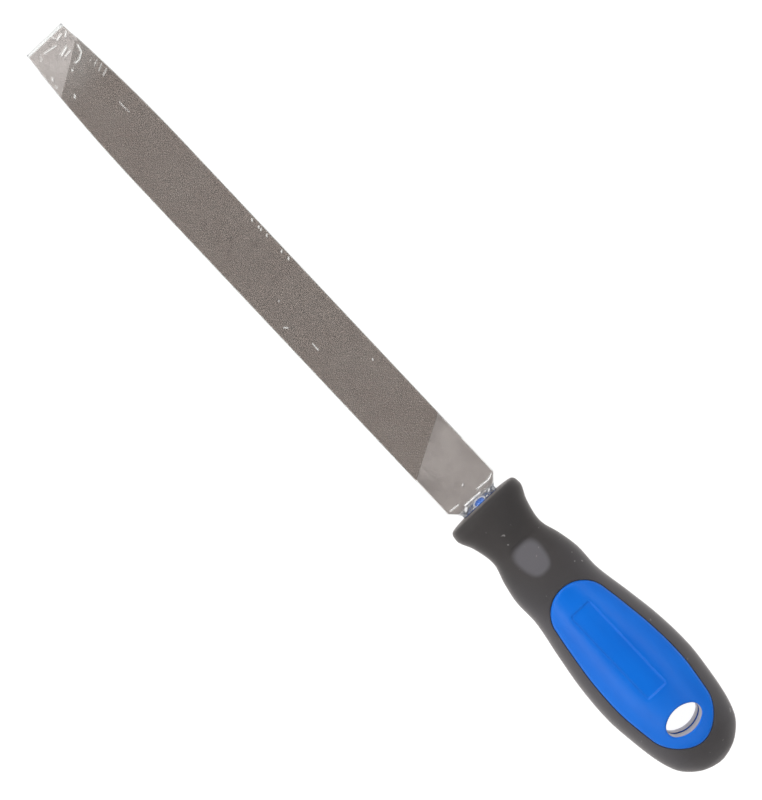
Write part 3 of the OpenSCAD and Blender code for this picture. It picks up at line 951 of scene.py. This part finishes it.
CREASES += [([(x, -8.2), (x - 0.9, -6.0)], 0.30, 0.07, white)
            for x, white in ((186.2, 0.14), (184.2, 0.2), (182.2, 0.34), (180.0, 0.34))]
CREASES += [([(x, -9.3), (x - 0.4, -8.8)], 0.28, 0.16, 0.9) for x in (112.6, 109.4, 108.4, 105.7, 98.7, 95.5)]


def segment_distance(x, y, a, b):
    (ax, ay), (bx, by) = a, b
    dx, dy = bx - ax, by - ay
    u = np.clip(((x - ax) * dx + (y - ay) * dy) / (dx * dx + dy * dy), 0, 1)
    return np.hypot(x - ax - u * dx, y - ay - u * dy)


def creases(x, y):
    """Height of the creases over a point of the upper face, and how white the painted glint on the film is there.
    """
    total, milk_and_painted_light = np.zeros_like(x), np.zeros_like(x)
    for line, width, height, white in CREASES:
        near = np.full_like(x, 99.0)
        for a, b in zip(line[:-1], line[1:]):
            near = np.minimum(near, segment_distance(x, y, a, b))
        total = np.maximum(total, height * np.exp(-(near / width) ** 2))
        milk_and_painted_light = np.maximum(milk_and_painted_light, white * np.exp(-(near / (0.75 * width)) ** 4))
    return total, milk_and_painted_light


FILM_MOUTH, FILM_END = -4.56, 201.2
FILM_WALL = 0.06
FILM_GAP_Y, FILM_GAP_Z = 0.12, 0.16
# The knobs at the sealed end's two corners.
KNOB_X, KNOB_Y = 200.75, 7.3


def film_section(x):
    """Half-width, half-height and corner radius of the film at x."""
    wide = half_w(x) + FILM_GAP_Y - 0.20 * smoothstep(192, 197, x)
    tall = half_t(x) + FILM_GAP_Z
    nose_in = np.clip(-2.4 - x, 0, 2.7)
    nose = 4.78 - (2.7 - np.sqrt(np.maximum(2.7**2 - (2.7 - nose_in) ** 2, 0)))
    # Clear of the steel's shoulders, which narrow at the same slope.
    wide = np.where(x < 0.6, np.minimum(wide, np.maximum(10.62 + (x - 0.6) * 0.92, 7.0)), wide)
    tall = np.where(x < -1.8, np.maximum(tall, nose + FILM_GAP_Z), tall)
    close = np.clip((x - 200.15) / 1.05, 0, 1)
    tall = tall * np.sqrt(np.maximum(1 - close**2, 0.02))
    return wide, tall, 0.30


def film_shell(grow):
    """The film's surface, grown by grow, as a grid of rows along x and columns round the section."""
    fine = ((FILM_MOUTH, 4.5, 0.16), (52, 54, 0.25), (66.4, 70.8, 0.3), (78.2, 81.2, 0.3), (86.4, 88.6, 0.3),
            (94.6, 113.4, 0.33), (163, 171, 0.4), (178, 200, 0.18))
    coarse = [(low, high, 2.0) for (_, low, _), (high, _, _) in zip(fine[:-1], fine[1:])]
    spans = sorted(list(fine) + coarse)
    xs = np.concatenate([np.arange(*span) for span in spans] + [np.linspace(200, FILM_END, 9)])
    top = np.linspace(1, -1, 90)
    low = np.linspace(-1, 1, 24)
    arc = np.linspace(0, 90, 5)[1:-1]
    rows = []
    for x in xs:
        wide, tall, r = (float(k) for k in film_section(x))
        wide, tall = wide + grow, tall + grow
        r = min(r + grow, tall * 0.9)
        flat_w, flat_t = wide - r, tall - r
        ring = [(flat_w * k, tall) for k in top]
        ring += [(-flat_w - r * math.sin(a), flat_t + r * math.cos(a)) for a in np.radians(arc)]
        ring += [(-wide, flat_t), (-wide, -flat_t)]
        ring += [(-flat_w - r * math.cos(a), -flat_t - r * math.sin(a)) for a in np.radians(arc)]
        ring += [(flat_w * k, -tall) for k in low]
        ring += [(flat_w + r * math.sin(a), -flat_t - r * math.cos(a)) for a in np.radians(arc)]
        ring += [(wide, -flat_t), (wide, flat_t)]
        ring += [(flat_w + r * math.cos(a), flat_t + r * math.sin(a)) for a in np.radians(arc)]
        rows.append([(x, y, z) for y, z in ring])
    grid = np.array(rows)
    x, y, z = grid[..., 0], grid[..., 1], grid[..., 2]
    upper = smoothstep(0.0, 1.2, z)
    lower = smoothstep(0.0, 1.2, -z)
    ripple = 0.05 * np.sin(x * 0.9 + 1.7 * np.sin(y * 0.5)) * np.sin(y * 1.1 + 0.4 * x)
    sag = 0.04 * np.sin(x * 0.23 + y * 0.31) + 0.03 * np.sin(x * 0.11 - y * 0.7)
    ends = smoothstep(170, 182, x) + 1 - smoothstep(4, 12, x)
    wrinkle = ripple * (0.25 + 0.75 * ends)
    z = z + upper * (creases(x, y)[0] + 0.5 * (wrinkle + sag))
    z = z - lower * (creases(x, 0.3 - 0.97 * y)[0] * 0.8 + 0.5 * (wrinkle - sag))
    # The mouth is crumpled over the nose, and the sealed end has a knob at each corner.
    mouth = 1 - smoothstep(-3.4, -1.2, x)
    z = z + mouth * np.sign(z) * 0.16 * np.sin(y * 2.3 + 3 * x) * (np.abs(y) < 6.8)
    knob = np.exp(-((x - KNOB_X) ** 2 + (np.abs(y) - KNOB_Y) ** 2) / 0.22)
    z = z + np.sign(z) * knob * 0.42
    return np.stack([x, y, z], -1)


def make_film():
    outer, inner = film_shell(FILM_WALL), film_shell(0.0)
    build = Build()
    build.grid(outer, close=True)
    build.grid(inner, close=True)
    build.grid(np.array([outer[0], inner[0]]), close=True)
    for shell in (outer, inner):
        last = shell[-1]
        middle_line = last.copy()
        middle_line[:, 2] = 0
        build.grid(np.array([last, middle_line]), close=True)
    data = build.mesh("blade_sleeve_film", weld=0.001)
    x, y, z = coords(data).T
    upper = z > 0
    # Painted glints: white milk along the creases of the upper face.
    white = creases(x, y)[1] * upper
    # A faint haze all over, more past the steel's tip, and from 176 to 193 mm painted light, whiter toward the
    # tip.
    haze_and_painted_light = 0.02 + 0.07 * smoothstep(176, 193, x) + 0.16 * smoothstep(200.2, 200.5, x)
    # Painted shade: grey on the sealed end's line and at its corner knobs.
    end_line = smoothstep(200.8, 201.0, x)
    knob = np.exp(-((x - KNOB_X) ** 2 + (y + KNOB_Y) ** 2) / 0.4)
    knob = knob + np.exp(-((x - 200.9) ** 2 + (y - 7.4) ** 2) / 0.3)
    # Over the nose the crumpled mouth gets grey painted shade, but for a clear window with a painted highlight, a
    # pale rim, in its middle.
    lip = 1 - smoothstep(-3.1, -2.3, x)
    off = np.hypot((x + 3.95) / 1.0, (y + 0.1) / 1.95)
    window = 1 - smoothstep(0.85, 1.05, off)
    rim = 0.7 * smoothstep(0.85, 1.0, off) * (1 - smoothstep(1.15, 1.35, off)) * lip
    crumple = 0.62 + 0.14 * np.sin(3.1 * y + 2.0 * x) * np.sin(1.3 * y - 2.6 * x)
    haze_and_painted_light = haze_and_painted_light + upper * (lip * (1 - window) * crumple + 0.40 * end_line + 0.55 * knob)
    haze_and_painted_light = np.maximum(haze_and_painted_light, 0.62 * white)
    # The long side folds get a little grey painted shade, so the empty sleeve can be made out on a white floor.
    fold = smoothstep(-0.12, 0.0, np.abs(y) - film_section(x)[0])
    haze_and_painted_light = haze_and_painted_light + 0.16 * fold
    # Painted shade: how grey the haze is, kept off the painted glints and the pale rim.
    film_painted_shade = lip + 0.14 * smoothstep(200.2, 200.5, x) + 0.40 * end_line + 0.5 * knob + 0.55 * fold
    film_painted_shade = np.clip(film_painted_shade, 0, 1) * (1 - np.clip(white + 0.8 * rim, 0, 1))
    attribute(data, "haze_and_painted_light", np.clip(haze_and_painted_light, 0, 0.75))
    attribute(data, "film_painted_shade", film_painted_shade)
    piece("blade_sleeve_film", data, film_material(), "sleeve", ["blade_sleeve"], smooth=60)


# ---------------------------------------------------------------- studio
def aimed(obj, target):
    obj.rotation_euler = (Vector(target) - obj.location).to_track_quat("-Z", "Y").to_euler()


def softbox(name, location, target, size, radiance):
    data = bpy.data.lights.new(name, "AREA")
    data.shape, data.size, data.size_y = "RECTANGLE", size[0], size[1]
    data.energy = radiance * math.pi * size[0] * size[1]
    obj = bpy.data.objects.new(name, data)
    bpy.context.scene.collection.objects.link(obj)
    obj.location = location
    aimed(obj, target)


PEAK = 8.0


def world_light():
    """A white studio dome: dark straight overhead, a bright ring round that, and brighter to one side."""
    world = bpy.data.worlds.new("studio")
    bpy.context.scene.world = world
    world.use_nodes = True
    tree = world.node_tree
    tree.nodes.clear()
    source = node(tree, "ShaderNodeTexCoord")
    split = node(tree, "ShaderNodeSeparateXYZ")
    link(tree, source.outputs["Generated"], split.inputs[0])
    ramp = node(tree, "ShaderNodeValToRGB")
    stops = ramp.color_ramp.elements
    # A stop is the height of a direction: 0 at the horizon and below, 1 straight up. Levels are stored over PEAK.
    levels = [(0.0, 1.10), (0.60, 0.95), (0.83, 0.85), (0.855, 4.6), (0.885, 4.6), (0.915, 0.30),
              (0.95, 0.04), (1.0, 0.04)]
    while len(stops) < len(levels):
        stops.new(0.5)
    for stop, (at, level) in zip(stops, levels):
        stop.position = at
        stop.color = (level / PEAK, level / PEAK, level / PEAK, 1)
    link(tree, split.outputs[2], ramp.inputs["Fac"])
    lean = math_node(tree, "MULTIPLY_ADD", split.outputs[0], 0.50, 1.0)
    lean = math_node(tree, "ADD", lean, math_node(tree, "MULTIPLY", split.outputs[1], 0.25))
    level = math_node(tree, "MULTIPLY", math_node(tree, "MULTIPLY", ramp.outputs["Color"], PEAK), lean)
    back = node(tree, "ShaderNodeBackground")
    back.inputs["Color"].default_value = (1.0, 0.995, 0.985, 1)
    link(tree, level, back.inputs["Strength"])
    out = node(tree, "ShaderNodeOutputWorld")
    link(tree, back.outputs[0], out.inputs["Surface"])


CAMERA_LENS, CAMERA_HEIGHT, CAMERA_TURN = 146.5, 1.0525, 226.74


def studio():
    low, high = cad_box
    middle = (low + high) / 2
    mesh = bpy.data.meshes.new("studio_floor")
    bm = bmesh.new()
    bmesh.ops.create_grid(bm, x_segments=8, y_segments=8, size=6)
    bm.to_mesh(mesh)
    bm.free()
    floor = bpy.data.objects.new("studio_floor", mesh)
    floor.location = (middle.x, middle.y, low.z)
    mesh.materials.append(floor_material())
    bpy.context.scene.collection.objects.link(floor)
    world_light()
    softbox("strip_left", (0.0, 0.55, 0.75), (0, 0, 0), (1.0, 0.20), 1.2)
    softbox("key_tip", (0.75, 0.1, 0.85), (0, 0, 0), (0.25, 0.6), 2.0)
    camera = bpy.data.objects.new("camera", bpy.data.cameras.new("camera"))
    camera.data.lens, camera.data.sensor_width = CAMERA_LENS, 36
    camera.data.clip_start, camera.data.clip_end = 0.05, 50
    camera.location = (middle.x + 0.0003, middle.y + 0.0005, CAMERA_HEIGHT)
    camera.rotation_euler = (0, 0, math.radians(CAMERA_TURN))
    bpy.context.scene.collection.objects.link(camera)
    bpy.context.scene.camera = camera
    bpy.context.scene.view_settings.view_transform = "Standard"


studio()
make_steel()
blue = core_material()
make_core(blue)
make_nose(blue)
make_grip(grip_material())
make_film()
